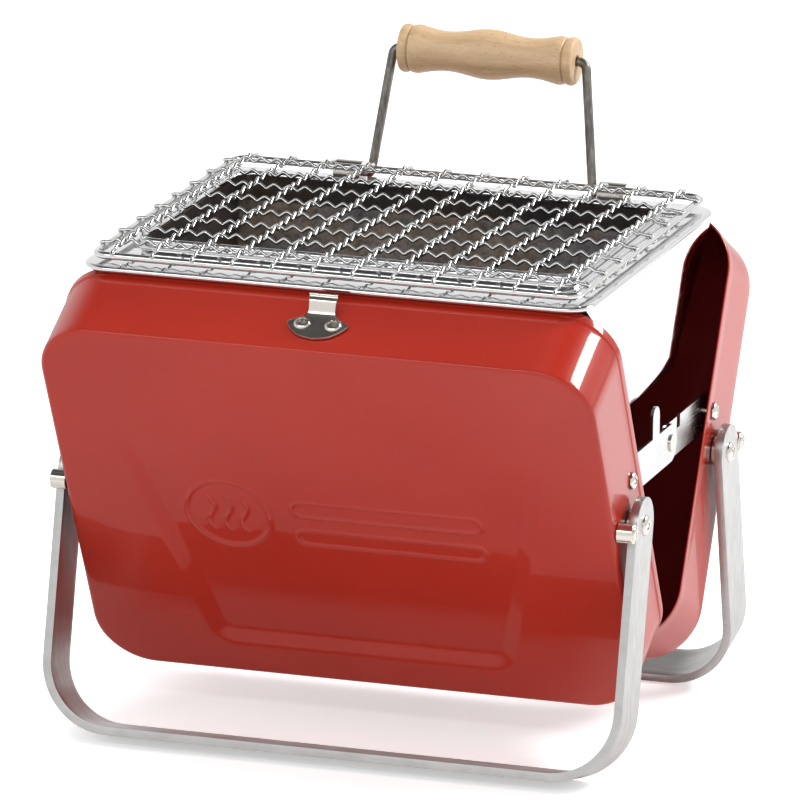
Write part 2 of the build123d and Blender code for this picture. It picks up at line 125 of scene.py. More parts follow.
def apply_modifiers(piece):
    graph = bpy.context.evaluated_depsgraph_get()
    final = bpy.data.meshes.new_from_object(piece.evaluated_get(graph))
    old = piece.data
    piece.modifiers.clear()
    piece.data = final
    final.name = piece.name
    bpy.data.meshes.remove(old)


def solidify(piece, thickness, offset=-1.0, inner_material=0):
    modifier = piece.modifiers.new("sheet", "SOLIDIFY")
    modifier.thickness = thickness
    modifier.offset = offset
    modifier.use_even_offset = True
    modifier.material_offset = inner_material


def bevel(piece, width, segments=3, angle=50):
    modifier = piece.modifiers.new("edges", "BEVEL")
    modifier.width = width
    modifier.segments = segments
    modifier.limit_method = "ANGLE"
    modifier.angle_limit = radians(angle)


def join(parts):
    """One object from several (vertices, faces) pairs."""
    vertices, faces = [], []
    for part_vertices, part_faces in parts:
        base = len(vertices)
        vertices += [Vector(v) for v in part_vertices]
        faces += [tuple(base + i for i in face) for face in part_faces]
    return vertices, faces


def move(part, matrix):
    vertices, faces = part
    return [matrix @ Vector(v) for v in vertices], faces


def grid_faces(rows, columns, closed=False, start=0):
    """Quads between rows of columns points; closed joins each row's ends."""
    faces = []
    last = columns if closed else columns - 1
    for i in range(rows - 1):
        for j in range(last):
            a, b = start + i * columns + j, start + i * columns + (j + 1) % columns
            faces.append((a, b, b + columns, a + columns))
    return faces


def tube(points, radius, sides=8, closed=False):
    """A round wire along points, with its ends capped."""
    points = [Vector(p) for p in points]
    count = len(points)
    vertices, up = [], None
    for i, p in enumerate(points):
        before = points[i - 1] if i or closed else p
        after = points[(i + 1) % count] if i < count - 1 or closed else p
        along = (after - before).normalized()
        if up is None:
            up = along.orthogonal().normalized()
        up = (up - along * up.dot(along)).normalized()
        side = along.cross(up)
        for k in range(sides):
            a = 2 * pi * k / sides
            vertices.append(p + radius * (up * cos(a) + side * sin(a)))
    faces = grid_faces(count, sides, closed=True)
    if closed:
        base = (count - 1) * sides
        faces += [(base + k, base + (k + 1) % sides, (k + 1) % sides, k) for k in range(sides)]
    else:
        faces.append(tuple(range(sides)))
        faces.append(tuple(range((count - 1) * sides, count * sides)))
    return vertices, faces


def revolve(profile, sides=64):
    """A surface turned about +Z from (radius, z) points."""
    vertices = []
    for r, z in profile:
        for k in range(sides):
            a = 2 * pi * k / sides
            vertices.append((r * cos(a), r * sin(a), z))
    return vertices, grid_faces(len(profile), sides, closed=True)


# ---- places ---------------------------------------------------------------------------
FRONT = Matrix.Translation(HINGE) @ Matrix.Rotation(TILT, 4, "X")
REAR = Matrix.Translation(HINGE) @ Matrix.Rotation(-TILT, 4, "X") @ Matrix.Scale(-1, 4, (0, 1, 0))


def local_box(node, matrix):
    """A CAD node's lowest and highest corners in the frame that matrix places."""
    back = matrix.inverted()
    points = np.array([back @ v.co for v in frame["nodes"][node].data.vertices])
    return Vector(points.min(0)), Vector(points.max(0))


def solid_boxes(node, matrix):
    """The boxes of a node's separate solids in the frame that matrix places."""
    work = bmesh.new()
    work.from_mesh(frame["nodes"][node].data)
    bmesh.ops.remove_doubles(work, verts=work.verts, dist=1e-7)
    back = matrix.inverted()
    left, boxes = set(work.verts), []
    while left:
        stack, group = [left.pop()], []
        while stack:
            vertex = stack.pop()
            group.append(back @ vertex.co)
            for edge in vertex.link_edges:
                other = edge.other_vert(vertex)
                if other in left:
                    left.discard(other)
                    stack.append(other)
        points = np.array(group)
        boxes.append((Vector(points.min(0)), Vector(points.max(0))))
    work.free()
    return sorted(boxes, key=lambda box: tuple(box[0]))


# ---- materials ------------------------------------------------------------------------
class Shader:
    """A procedural material: a Principled shader and helpers that feed it."""

    def __init__(self, name, color, metallic=0.0, roughness=0.5):
        self.material = bpy.data.materials.new(name)
        self.material.use_nodes = True
        self.tree = self.material.node_tree
        self.shader = self.tree.nodes["Principled BSDF"]
        self.set("Base Color", (*color, 1))
        self.set("Metallic", metallic)
        self.set("Roughness", roughness)
        self.material.diffuse_color = (*color, 1)
        self.place = self.node("ShaderNodeTexCoord").outputs["Object"]
        self.height = None

    def node(self, kind, **values):
        made = self.tree.nodes.new(kind)
        for key, value in values.items():
            if hasattr(made, key):
                setattr(made, key, value)
            else:
                made.inputs[key.replace("_", " ")].default_value = value
        return made

    def set(self, name, value):
        target = self.shader.inputs[name]
        if isinstance(value, bpy.types.NodeSocket):
            self.tree.links.new(value, target)
        else:
            target.default_value = value

    def scaled(self, scale):
        mapping = self.node("ShaderNodeMapping")
        mapping.inputs["Scale"].default_value = scale
        self.tree.links.new(self.place, mapping.inputs["Vector"])
        return mapping.outputs["Vector"]

    def noise(self, scale, detail=3.0, rough=0.5, stretch=None, distortion=0.0):
        noise = self.node("ShaderNodeTexNoise", Scale=scale, Detail=detail, Roughness=rough)
        noise.inputs["Distortion"].default_value = distortion
        vector = self.scaled(stretch) if stretch else self.place
        self.tree.links.new(vector, noise.inputs["Vector"])
        return noise.outputs["Fac"]

    def ramp(self, factor, stops):
        ramp = self.node("ShaderNodeValToRGB")
        points = ramp.color_ramp.elements
        while len(points) < len(stops):
            points.new(0.5)
        for point, (at, color) in zip(points, stops):
            point.position = at
            point.color = (*color, 1) if len(color) == 3 else color
        self.tree.links.new(factor, ramp.inputs["Fac"])
        return ramp.outputs["Color"]

    def between(self, factor, low, high, start=0.0, end=1.0):
        scaled = self.node("ShaderNodeMapRange")
        self.tree.links.new(factor, scaled.inputs["Value"])
        scaled.inputs["From Min"].default_value = start
        scaled.inputs["From Max"].default_value = end
        scaled.inputs["To Min"].default_value = low
        scaled.inputs["To Max"].default_value = high
        return scaled.outputs["Result"]

    def mix(self, factor, a, b, mode="MIX"):
        mixer = self.node("ShaderNodeMix", data_type="RGBA", blend_type=mode)
        for value, index in ((factor, 0), (a, 6), (b, 7)):
            if isinstance(value, bpy.types.NodeSocket):
                self.tree.links.new(value, mixer.inputs[index])
            elif index == 0:
                mixer.inputs[0].default_value = value
            else:
                mixer.inputs[index].default_value = (*value, 1)
        return mixer.outputs[2]

    def bump(self, height, strength, distance):
        bump = self.node("ShaderNodeBump", Strength=strength, Distance=distance)
        self.tree.links.new(height, bump.inputs["Height"])
        if self.height is not None:
            self.tree.links.new(self.height, bump.inputs["Normal"])
        self.height = bump.outputs["Normal"]
        self.set("Normal", self.height)


def enamel(name, color, shade):
    """Glossy stoved enamel: a faint orange peel, uneven gloss and a clear coat."""
    look = Shader(name, color, roughness=0.34)
    look.set("Specular IOR Level", 0.12)
    tone = look.ramp(look.noise(9, 4), [(0.3, shade), (0.7, color)])
    specks = look.between(look.noise(2600, 2), 0, 0.10, 0.66, 0.80)
    look.set("Base Color", look.mix(specks, tone, (0.7, 0.12, 0.09)))
    look.set("Coat Weight", 0.58)
    look.set("Coat Roughness", look.between(look.noise(55, 5), 0.015, 0.07, 0.35, 0.75))
    look.bump(look.noise(420, 2, 0.4), 0.035, 0.0004)
    look.bump(look.noise(28, 2, 0.4), 0.05, 0.0012)
    return look.material


def polished(name, color, roughness, smudge=0.06, wave=0.03):
    """Bright plated or polished metal with smudges and a slightly uneven surface."""
    look = Shader(name, color, metallic=1.0, roughness=roughness)
    haze = look.noise(38, 6, 0.62)
    look.set("Roughness", look.between(haze, roughness, roughness + smudge, 0.42, 0.72))
    dull = tuple(0.86 * c for c in color)
    look.set("Base Color", look.ramp(haze, [(0.35, color), (0.8, dull)]))
    look.bump(look.noise(900, 3, 0.6), wave, 0.0002)
    return look.material


def mirror_sheet(name):
    """Bright rolled stainless sheet: mirror-like, with faint rolling lines and ripples."""
    look = Shader(name, (0.74, 0.74, 0.75), metallic=1.0, roughness=0.03)
    lines = look.noise(260, 4, 0.6, stretch=(1.0, 0.04, 1.0))
    look.set("Roughness", look.between(lines, 0.02, 0.075, 0.35, 0.7))
    tone = look.ramp(look.noise(14, 5), [(0.3, (0.76, 0.76, 0.77)), (0.75, (0.68, 0.68, 0.69))])
    look.set("Base Color", tone)
    look.bump(look.noise(16, 2, 0.4), 0.06, 0.0015)
    look.bump(lines, 0.02, 0.0001)
    return look.material


def brushed(name, color, stretch, roughness=0.36, contrast=0.8):
    """Metal with fine lines along one direction, scuffs and a few dull patches."""
    look = Shader(name, color, metallic=1.0, roughness=roughness)
    lines = look.noise(700, 5, 0.7, stretch=stretch)
    patches = look.noise(26, 5, 0.6)
    low = tuple(contrast * c for c in color)
    tone = look.ramp(lines, [(0.3, low), (0.68, color)])
    look.set("Base Color", look.mix(look.between(patches, 0, 0.5, 0.45, 0.75), tone, low))
    rough = look.mix(0.5, look.ramp(lines, [(0.3, (0.5,) * 3), (0.7, (0.2,) * 3)]),
                     look.ramp(patches, [(0.35, (0.25,) * 3), (0.7, (0.55,) * 3)]))
    look.set("Roughness", look.between(rough, roughness - 0.12, roughness + 0.16, 0.2, 0.55))
    look.bump(lines, 0.12, 0.0002)
    look.bump(look.noise(180, 4, 0.6), 0.05, 0.0003)
    return look.material


def drawn_steel(name):
    """Grey drawn wire with scale, rubbed bright along its length."""
    look = Shader(name, (0.20, 0.19, 0.175), metallic=1.0, roughness=0.4)
    streaks = look.noise(300, 6, 0.7, stretch=(1.0, 1.0, 0.05))
    grime = look.noise(90, 6, 0.7)
    tone = look.ramp(streaks, [(0.32, (0.07, 0.065, 0.06)), (0.5, (0.20, 0.19, 0.17)),
                               (0.72, (0.42, 0.40, 0.37))])
    look.set("Base Color", look.mix(look.between(grime, 0, 0.6, 0.45, 0.7), tone, (0.09, 0.08, 0.07)))
    look.set("Roughness", look.between(grime, 0.24, 0.55, 0.3, 0.7))
    look.bump(streaks, 0.25, 0.0003)
    look.bump(grime, 0.12, 0.0003)
    return look.material


def beech(name):
    """Turned beech: long pale grain, short dark flecks and end grain."""
    look = Shader(name, (0.62, 0.40, 0.22), roughness=0.45)
    grain = look.noise(95, 6, 0.6, stretch=(0.10, 1.0, 1.0), distortion=0.6)
    fine = look.noise(700, 4, 0.6, stretch=(0.05, 1.0, 1.0))
    flecks = look.between(look.noise(1300, 2, 0.5, stretch=(0.16, 1.0, 1.0)), 0, 1, 0.60, 0.72)
    tone = look.ramp(grain, [(0.28, (0.38, 0.235, 0.12)), (0.5, (0.52, 0.35, 0.195)),
                             (0.75, (0.63, 0.45, 0.27))])
    tone = look.mix(look.between(fine, 0, 0.35, 0.4, 0.7), tone, (0.42, 0.27, 0.14))
    look.set("Base Color", look.mix(look.between(flecks, 0, 0.55), tone, (0.25, 0.14, 0.07)))
    look.set("Roughness", look.between(grain, 0.36, 0.56, 0.3, 0.7))
    look.set("Coat Weight", 0.12)
    look.set("Coat Roughness", 0.3)
    look.bump(fine, 0.12, 0.0003)
    look.bump(flecks, -0.15, 0.0002)
    return look.material


def burnt_sheet(name):
    """Stainless sheet darkened by heat: straw, brown and blue tints under soot."""
    look = Shader(name, (0.16, 0.15, 0.15), metallic=0.9, roughness=0.4)
    heat = look.noise(22, 5, 0.6, distortion=0.8)
    tint = look.ramp(heat, [(0.25, (0.05, 0.05, 0.06)), (0.45, (0.13, 0.12, 0.12)),
                            (0.6, (0.16, 0.12, 0.09)), (0.8, (0.24, 0.23, 0.23))])
    soot = look.noise(240, 6, 0.7)
    look.set("Base Color", look.mix(look.between(soot, 0, 0.7, 0.4, 0.7), tint, (0.03, 0.03, 0.03)))
    look.set("Roughness", look.between(soot, 0.22, 0.6, 0.3, 0.7))
    look.bump(soot, 0.15, 0.0003)
    return look.material


def black_plate(name):
    """Gritty blackened sheet."""
    look = Shader(name, (0.02, 0.02, 0.02), metallic=0.5, roughness=0.6)
    grit = look.noise(900, 5, 0.7)
    look.set("Base Color", look.ramp(grit, [(0.3, (0.012, 0.012, 0.012)), (0.7, (0.05, 0.048, 0.045))]))
    look.set("Roughness", look.between(grit, 0.45, 0.8, 0.3, 0.7))
    look.bump(grit, 0.3, 0.0003)
    return look.material


def pale_floor(name):
    """A matt white floor, a little brighter to the camera than to the metal above it."""
    look = Shader(name, (0.90, 0.90, 0.90), roughness=0.55)
    cloud = look.noise(3, 3)
    look.set("Base Color", look.ramp(cloud, [(0.3, (0.89, 0.89, 0.89)), (0.7, (0.92, 0.92, 0.92))]))
    look.set("Specular IOR Level", 0.15)
    look.set("Emission Color", (1, 1, 1, 1))
    seen = look.node("ShaderNodeLightPath").outputs["Is Camera Ray"]
    look.set("Emission Strength", look.between(seen, 0.05, 0.42))
    look.bump(look.noise(600, 3), 0.02, 0.0002)
    return look.material


RED = enamel("red_enamel", (0.38, 0.022, 0.010), (0.34, 0.017, 0.008))
# The shells' insides: a darker copy of the red enamel, painted shade for where little light gets in.
RED_IN_PAINTED_SHADE = enamel("inner_enamel_painted_shade", (0.20, 0.009, 0.009), (0.14, 0.007, 0.007))
MIRROR = mirror_sheet("mirror_stainless")
CHROME = polished("chromed_wire", (0.72, 0.72, 0.71), 0.09, 0.10, 0.05)
NICKEL = polished("nickel_plate", (0.70, 0.66, 0.60), 0.16, 0.14, 0.05)
ZINC = brushed("zinc_plate", (0.66, 0.65, 0.62), (0.06, 1.0, 1.0), 0.32)
STAY = brushed("bright_strip", (0.60, 0.60, 0.60), (1.0, 0.05, 1.0), 0.20, 0.93)
STRAP = brushed("mill_aluminium", (0.54, 0.54, 0.53), (0.08, 0.5, 0.08), 0.38, 0.82)
STEEL = drawn_steel("handle_steel")
WOOD = beech("beech_wood")
BURNT = burnt_sheet("burnt_steel")
BLACK = black_plate("black_steel")


# ---- half-shells ----------------------------------------------------------------------
def grid_lines(size, radius, corner_cells, middle_cells):
    """Grid lines from -size/2 to size/2, with the corner stretches divided evenly."""
    half = size / 2
    corner = np.linspace(-half, -half + radius, corner_cells + 1)
    middle = np.linspace(-half + radius, half - radius, middle_cells + 1)
    return np.concatenate([corner, middle[1:-1], -corner[::-1]])


def rounded(x, z, width, height, radius):
    """Move the points of a square-cornered grid into rounded corners."""
    a = np.clip((np.abs(x) - (width / 2 - radius)) / radius, 0, 1)
    b = np.clip((np.abs(z) - (height / 2 - radius)) / radius, 0, 1)
    in_corner = (a > 0) & (b > 0)
    moved_x = np.where(in_corner, width / 2 - radius + radius * a * np.sqrt(1 - b * b / 2), np.abs(x))
    moved_z = np.where(in_corner, height / 2 - radius + radius * b * np.sqrt(1 - a * a / 2), np.abs(z))
    return np.sign(x) * moved_x, np.sign(z) * moved_z


def soft_ramp(value, edge=0.08):
    """0 to 1 in a straight line, with the two corners slightly rounded."""
    low = np.where(value < edge, np.clip(value + edge, 0, None) ** 2 / (4 * edge), value)
    high = 1 - np.where(1 - low < edge, np.clip(1 - low + edge, 0, None) ** 2 / (4 * edge), 1 - low)
    return np.clip(high, 0, 1)


def panel_press(x, z):
    """Depth of the pressed panel: a trapezoid, deepest at its bottom edge."""
    slant = sqrt(1 + PANEL_FLARE**2)
    side = (PANEL_HALF + (z - PANEL_BOTTOM) * PANEL_FLARE - np.abs(x)) / slant
    foot = z - PANEL_BOTTOM
    r = PANEL_CORNER_R
    corner = r - np.hypot(np.clip(r - side, 0, None), np.clip(r - foot, 0, None))
    inside = np.where((side < r) & (foot < r), corner, np.minimum(side, foot))
    depth = PANEL_DEPTH * np.clip((PANEL_TOP - z) / (PANEL_TOP - PANEL_BOTTOM), 0, 1) ** 0.8
    return depth * soft_ramp(inside / PANEL_FACET)


def ridge(distance, half_width, height):
    return height * np.exp(-((distance / half_width) ** 4))


def emblem(x, z):
    """A ring round three rising heat waves, and two long ribs beside it."""
    cx, cz, radius = EMBLEM
    height, half = EMBOSS
    raised = ridge(np.hypot(x - cx, z - cz) - radius, half, height)
    for offset in (-WAVE_GAP, 0.0, WAVE_GAP):
        wave = x - cx - offset - WAVE_SWAY * np.sin((z - cz) / WAVE_PERIOD)
        beyond = np.clip(np.abs(z - cz) - WAVE_HALF, 0, None)
        raised = np.maximum(raised, ridge(np.hypot(wave, beyond), half, height))
    left, right = RIBS_X
    for middle in RIBS_Z:
        beyond = np.clip(np.abs(x - (left + right) / 2) - (right - left) / 2 + RIB_R, 0, None)
        rim = np.abs(np.hypot(beyond, z - middle) - RIB_R)
        raised = np.maximum(raised, ridge(rim, half, height))
    return raised


def half_shell(name, node, matrix, body, step, marks):
    low, high = local_box(node, matrix)
    width, height, depth = high.x - low.x, high.z - low.z, -low.y
    middle = (low.z + high.z) / 2
    inset = WALL_STEP + EDGE_R
    corner_cells = 20
    counts = [int((size - 2 * CORNER_R) / step) for size in (width, height)]

    def sheet(inward):
        size = (width - 2 * inward, height - 2 * inward, CORNER_R - inward)
        gx = grid_lines(size[0], size[2], corner_cells, counts[0])
        gz = grid_lines(size[1], size[2], corner_cells, counts[1])
        return rounded(*np.meshgrid(gx, gz), *size)

    fx, fz = sheet(inset)
    fz = fz + middle
    fy = -depth + panel_press(fx, fz)
    if marks:
        fy = fy - emblem(fx, fz)
    rows, columns = fx.shape
    vertices = list(zip(fx.ravel(), fy.ravel(), fz.ravel()))
    faces = grid_faces(rows, columns)
    edge = list(range(columns))
    edge += [i * columns + columns - 1 for i in range(1, rows)]
    edge += [(rows - 1) * columns + j for j in range(columns - 2, -1, -1)]
    edge += [i * columns for i in range(rows - 2, 0, -1)]

    profile = []
    for k in range(1, 8):
        a = k / 7 * pi / 2
        profile.append((inset - EDGE_R * sin(a), depth - EDGE_R * (1 - cos(a))))
    wall_end = BAND + BAND_EASE
    for t in np.linspace(depth - EDGE_R, wall_end, 8)[1:]:
        profile.append((WALL_STEP, t))
    for k in range(1, 7):
        ease = 0.5 - 0.5 * cos(k / 6 * pi)
        profile.append((WALL_STEP * (1 - ease), wall_end - BAND_EASE * k / 6))
    profile += [(0.0, BAND / 2), (0.0, 1.0 * MM), (0.12 * MM, 0.45 * MM), (0.35 * MM, -high.y)]
    previous = edge
    for inward, t in profile:
        sx, sz = sheet(inward)
        sx, sz = sx.ravel(), sz.ravel() + middle
        start = len(vertices)
        vertices += [(sx[i], -t, sz[i]) for i in edge]
        count = len(edge)
        for j in range(count):
            k = (j + 1) % count
            faces.append((previous[j], previous[k], start + k, start + j))
        previous = list(range(start, start + count))
    placed = [matrix @ Vector(v) for v in vertices]
    if matrix.determinant() < 0:
        faces = [face[::-1] for face in faces]
    piece = make_object(name, placed, faces, [RED, RED_IN_PAINTED_SHADE])
    face_out(piece, matrix @ Vector((0, -depth, middle)), matrix.to_3x3() @ Vector((0, -1, 0)))
    # The inner faces take the darker enamel copy, which is painted shade.
    solidify(piece, SHEET_T, -1.0, inner_material=1)
    apply_modifiers(piece)
    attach(piece, body)
    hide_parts(node)
    return piece


def face_out(piece, point, outward):
    """Turn the whole sheet over if the face nearest to point looks the wrong way."""
    nearest = min(piece.data.polygons, key=lambda p: (p.center - point).length)
    if nearest.normal.dot(outward) < 0:
        piece.data.flip_normals()


# ---- legs -----------------------------------------------------------------------------
def strap_leg(name, node, joint, splay, body):
    pivot = Vector(JOINTS[joint]["pos_m"])
    place = Matrix.Translation(pivot) @ Matrix.Rotation(splay, 4, "X")
    low, high = local_box(node, place)
    half, drop, top = high.x, -low.z, high.z
    strap = (high.y - low.y) / 2
    route = []
    for k in range(1, 15):
        a = k / 14 * pi / 2
        route.append((half, top - strap * (1 - cos(a)), strap * sin(a)))
    bottom = -drop + STRAP_BEND_R
    route += [(half, z, strap) for z in np.linspace(top - strap, bottom, 14)[1:]]
    for k in range(1, 17):
        a = k / 16 * pi / 2
        x = half - STRAP_BEND_R + STRAP_BEND_R * cos(a)
        route.append((x, bottom - STRAP_BEND_R * sin(a), strap))
    route += [(x, -drop, strap) for x in np.linspace(half - STRAP_BEND_R, 0, 12)[1:]]
    route += [(-x, z, b) for x, z, b in reversed(route[:-1])]
    across = np.linspace(-1, 1, 9)
    vertices = []
    for x, z, b in route:
        vertices += [place @ Vector((x, b * v, z)) for v in across]
    first, last = len(vertices), len(vertices) + 1
    vertices += [place @ Vector((half, 0, top)), place @ Vector((-half, 0, top))]
    faces = grid_faces(len(route), len(across))
    end = (len(route) - 1) * len(across)
    for j in range(len(across) - 1):
        faces.append((first, j + 1, j))
        faces.append((last, end + j, end + j + 1))
    piece = make_object(name, vertices, faces, [STRAP])
    face_out(piece, place @ Vector((half, 0, 0)), Vector((1, 0, 0)))
    solidify(piece, STRAP_T)
    bevel(piece, 0.7 * MM, 3)
    apply_modifiers(piece)
    tidy_mesh(piece, 40)
    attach(piece, body)
    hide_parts(node)


# ---- firebox --------------------------------------------------------------------------
def outline(width, depth, radius, centre, z, corner=12, side=10):
    """A rounded rectangle's points at height z, always the same number of them."""
    points = []
    for quarter in range(4):
        sx, sy = ((1, 1), (-1, 1), (-1, -1), (1, -1))[quarter]
        cx, cy = sx * (width / 2 - radius), sy * (depth / 2 - radius)
        for k in range(corner + 1):
            a = (quarter + k / corner) * pi / 2
            points.append(Vector((centre.x + cx + radius * cos(a), centre.y + cy + radius * sin(a), z)))
        nx, ny = ((-1, 1), (-1, -1), (1, -1), (1, 1))[quarter]
        a = (quarter + 1) * pi / 2
        end = Vector((centre.x + nx * (width / 2 - radius) + radius * cos(a),
                      centre.y + ny * (depth / 2 - radius) + radius * sin(a), z))
        start = points[-1]
        points += [start.lerp(end, k / side) for k in range(1, side)]
    return points


def top_frame():
    """The flange with its curled hem and the rolled lip round the opening."""
    low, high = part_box("firebox_top_frame")
    inner_low, inner_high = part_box("firebox_tray")
    centre = (low + high) / 2
    width, depth = high.x - low.x, high.y - low.y
    open_w, open_d = inner_high.x - inner_low.x, inner_high.y - inner_low.y
    flange_z = low.z + HEM_DROP
    loops = []
    for k in range(9):
        a = -pi + k / 8 * 1.5 * pi
        inward = HEM_R - HEM_R * cos(a)
        z = flange_z - HEM_R + HEM_R * sin(a)
        loops.append(outline(width - 2 * inward, depth - 2 * inward, FLANGE_R - inward, centre, z))
    foot = 2.6 * MM
    for out, z in ((foot + 4 * MM, 0), (foot + 0.8 * MM, 0.05 * MM), (foot - 0.3 * MM, 0.5 * MM),
                   (foot - 0.9 * MM, 1.4 * MM), (foot - 1.0 * MM, 3.4 * MM)):
        loops.append(outline(open_w + 2 * out, open_d + 2 * out, OPENING_R + out, centre, flange_z + z))
    for k in range(11):
        a = -0.2 * pi + k / 10 * 1.25 * pi
        out = 0.75 * MM + BEAD_R * cos(a)
        z = high.z - BEAD_R + BEAD_R * sin(a)
        loops.append(outline(open_w + 2 * out, open_d + 2 * out, OPENING_R + out, centre, z))
    out = 0.15 * MM
    for drop in (3.5, 7.0, 10.0):
        z = high.z - drop * MM
        loops.append(outline(open_w + 2 * out, open_d + 2 * out, OPENING_R + out, centre, z))
    count = len(loops[0])
    vertices = [p for loop in loops for p in loop]
    faces = grid_faces(len(loops), count, closed=True)
    piece = make_object("firebox_flange", vertices, faces, [MIRROR], 40)
    face_out(piece, Vector((centre.x, low.y + 8 * MM, flange_z)), Vector((0, 0, 1)))
    solidify(piece, FLANGE_T)
    apply_modifiers(piece)
    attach(piece, "firebox")
    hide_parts("firebox_top_frame")


def side_skirts():
    """The bright side plates: a crease near the front, and folded lower edges."""
    parts = []
    for low, high in solid_boxes("firebox_side_skirts", Matrix.Identity(4)):
        side = 1 if low.x > 0 else -1
        out = high.x if side > 0 else low.x
        top, bottom = high.z, low.z
        middle = (low.y + high.y) / 2
        half_top = (high.y - low.y) / 2 + SKIRT_LUG
        rows, columns = 16, 25
        vertices = []
        for i in range(rows):
            f = i / (rows - 1)
            z = top + (bottom - top) * f
            half = half_top + (SKIRT_FOOT - half_top) * f
            for j in range(columns):
                y = -half + 2 * half * j / (columns - 1)
                crease = max(0.0, SKIRT_CREASE - y) * 0.22
                hem = 1.0 * MM * max(0.0, (f - 0.93) / 0.07) ** 2
                vertices.append((out - side * (crease + hem), middle + y, z))
        parts.append((vertices, grid_faces(rows, columns)))
    vertices, faces = join(parts)
    piece = make_object("firebox_skirt_plates", vertices, faces, [MIRROR], 25)
    for polygon in piece.data.polygons:
        outward = 1 if polygon.center.x > 0 else -1
        if polygon.normal.x * outward < 0:
            polygon.flip()
    solidify(piece, SKIRT_T)
    apply_modifiers(piece)
    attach(piece, "firebox")
    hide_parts("firebox_side_skirts")


# ---- cooking grate --------------------------------------------------------------------
def crimped(length_half, pitch, first, sign, base, rod, hook, wrap):
    """A crimped wire's (distance along, height) points, bent down over the rod at both ends."""
    wave = pitch / CRIMPS_PER_MESH
    reach = length_half - ROD_APPROACH
    count = int(2 * reach / CRIMP_STEP)
    middle = []
    for k in range(count + 1):
        s = -reach + 2 * reach * k / count
        phase = 2 * pi * (s - first) / wave
        fade = min(1.0, (reach - abs(s)) / CRIMP_FADE)
        crimp = sign * CRIMP * (cos(phase) + 0.10 * cos(3 * phase)) * fade
        level = base + (rod + hook - base) * (1 - fade)
        middle.append((s, level + crimp))
    ends = []
    for k in range(1, 7):
        a = pi / 2 - k / 6 * wrap
        ends.append((length_half + hook * cos(a), rod + hook * sin(a)))
    return [(-s, z) for s, z in reversed(ends)] + middle + ends


def grate_wires(name, node, along_x):
    rod_low, rod_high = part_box("grate_frame_rod")
    rod_z, rod_r = (rod_low.z + rod_high.z) / 2, (rod_high.z - rod_low.z) / 2
    hook = rod_r + WIRE_R
    base = rod_high.z + CRIMP + WIRE_R + 0.1 * MM
    boxes = solid_boxes(node, Matrix.Identity(4))
    axis, other = (0, 1) if along_x else (1, 0)
    places = sorted((low[other] + high[other]) / 2 for low, high in boxes)
    crossing = solid_boxes("grate_cross_wires" if along_x else "grate_long_wires", Matrix.Identity(4))
    marks = sorted((low[axis] + high[axis]) / 2 for low, high in crossing)
    centre = (rod_low[axis] + rod_high[axis]) / 2
    half = (rod_high[axis] - rod_low[axis]) / 2 - rod_r
    pitch = marks[1] - marks[0]
    wrap = LONG_WRAP if along_x else CROSS_WRAP
    parts = []
    for k, place in enumerate(places):
        sign = (-1) ** k * (-1 if along_x else 1)
        path = crimped(half, pitch, marks[0] - centre, sign, base, rod_z, hook, wrap)
        if along_x:
            points = [(centre + s, place, z) for s, z in path]
        else:
            points = [(place, centre + s, z) for s, z in path]
        parts.append(tube(points, WIRE_R, 8))
    vertices, faces = join(parts)
    piece = make_object(name, vertices, faces, [CHROME], 50)
    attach(piece, "cooking_grate")
    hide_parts(node)


# ---- handle ---------------------------------------------------------------------------
def spline(points, steps):
    """Catmull-Rom points through the given (a, b) pairs."""
    pts = [Vector(p) for p in points]
    pts = [2 * pts[0] - pts[1]] + pts + [2 * pts[-1] - pts[-2]]
    curve = []
    for i in range(1, len(pts) - 2):
        for k in range(steps):
            t = k / steps
            a, b, c, d = pts[i - 1:i + 3]
            curve.append(0.5 * ((2 * b) + (c - a) * t + (2 * a - 5 * b + 4 * c - d) * t**2
                                + (3 * b - a - 3 * c + d) * t**3))
    return curve + [pts[-2]]


def grip():
    """The turned grip: an end disc, a groove, a bead, a waist and a full middle."""
    low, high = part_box("handle_grip")
    centre = (low + high) / 2
    half, full = (high.x - low.x) / 2, (high.z - low.z) / 2
    bore = 3.3 * MM
    disc = [(0.0, 11.4), (0.5, 12.5), (1.8, 13.15), (3.4, 13.2), (4.7, 12.7), (5.4, 12.2)]
    groove_and_bead = [(5.7, 11.7), (6.0, 12.2), (6.8, 12.9), (9.0, 13.25), (11.0, 13.1)]
    waist = [(15.0, 12.2), (20.0, 11.3), (26.0, 10.9), (32.0, 11.3), (38.0, 12.3)]
    middle = [(44.0, 13.4), (49.5, 13.8)]
    shape = [Vector((a * MM, r * MM)) for a, r in disc + groove_and_bead + waist + middle]
    right = spline(shape, 4)
    profile = [(bore * 0.8, -half + 9 * MM), (bore, -half + 7 * MM), (bore, -half + 0.6 * MM),
               (bore + 0.5 * MM, -half)]
    profile += [(r, -half) for r in np.linspace(bore + 1.2 * MM, shape[0].y - 0.3 * MM, 5)]
    profile += [(min(p.y, full), -half + p.x) for p in right]
    profile += [(r, -z) for r, z in reversed(profile[:-1])]
    turn = Matrix.Translation(centre) @ Matrix.Rotation(pi / 2, 4, "Y")
    sides = 96
    vertices, faces = move(revolve(profile, sides), turn)
    last = (len(profile) - 1) * sides
    for j in range(sides):
        k = (j + 1) % sides
        faces.append((last + j, last + k, k, j))
    piece = make_object("turned_grip", vertices, faces, [WOOD], 45)
    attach(piece, "grip")
    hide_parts("handle_grip")


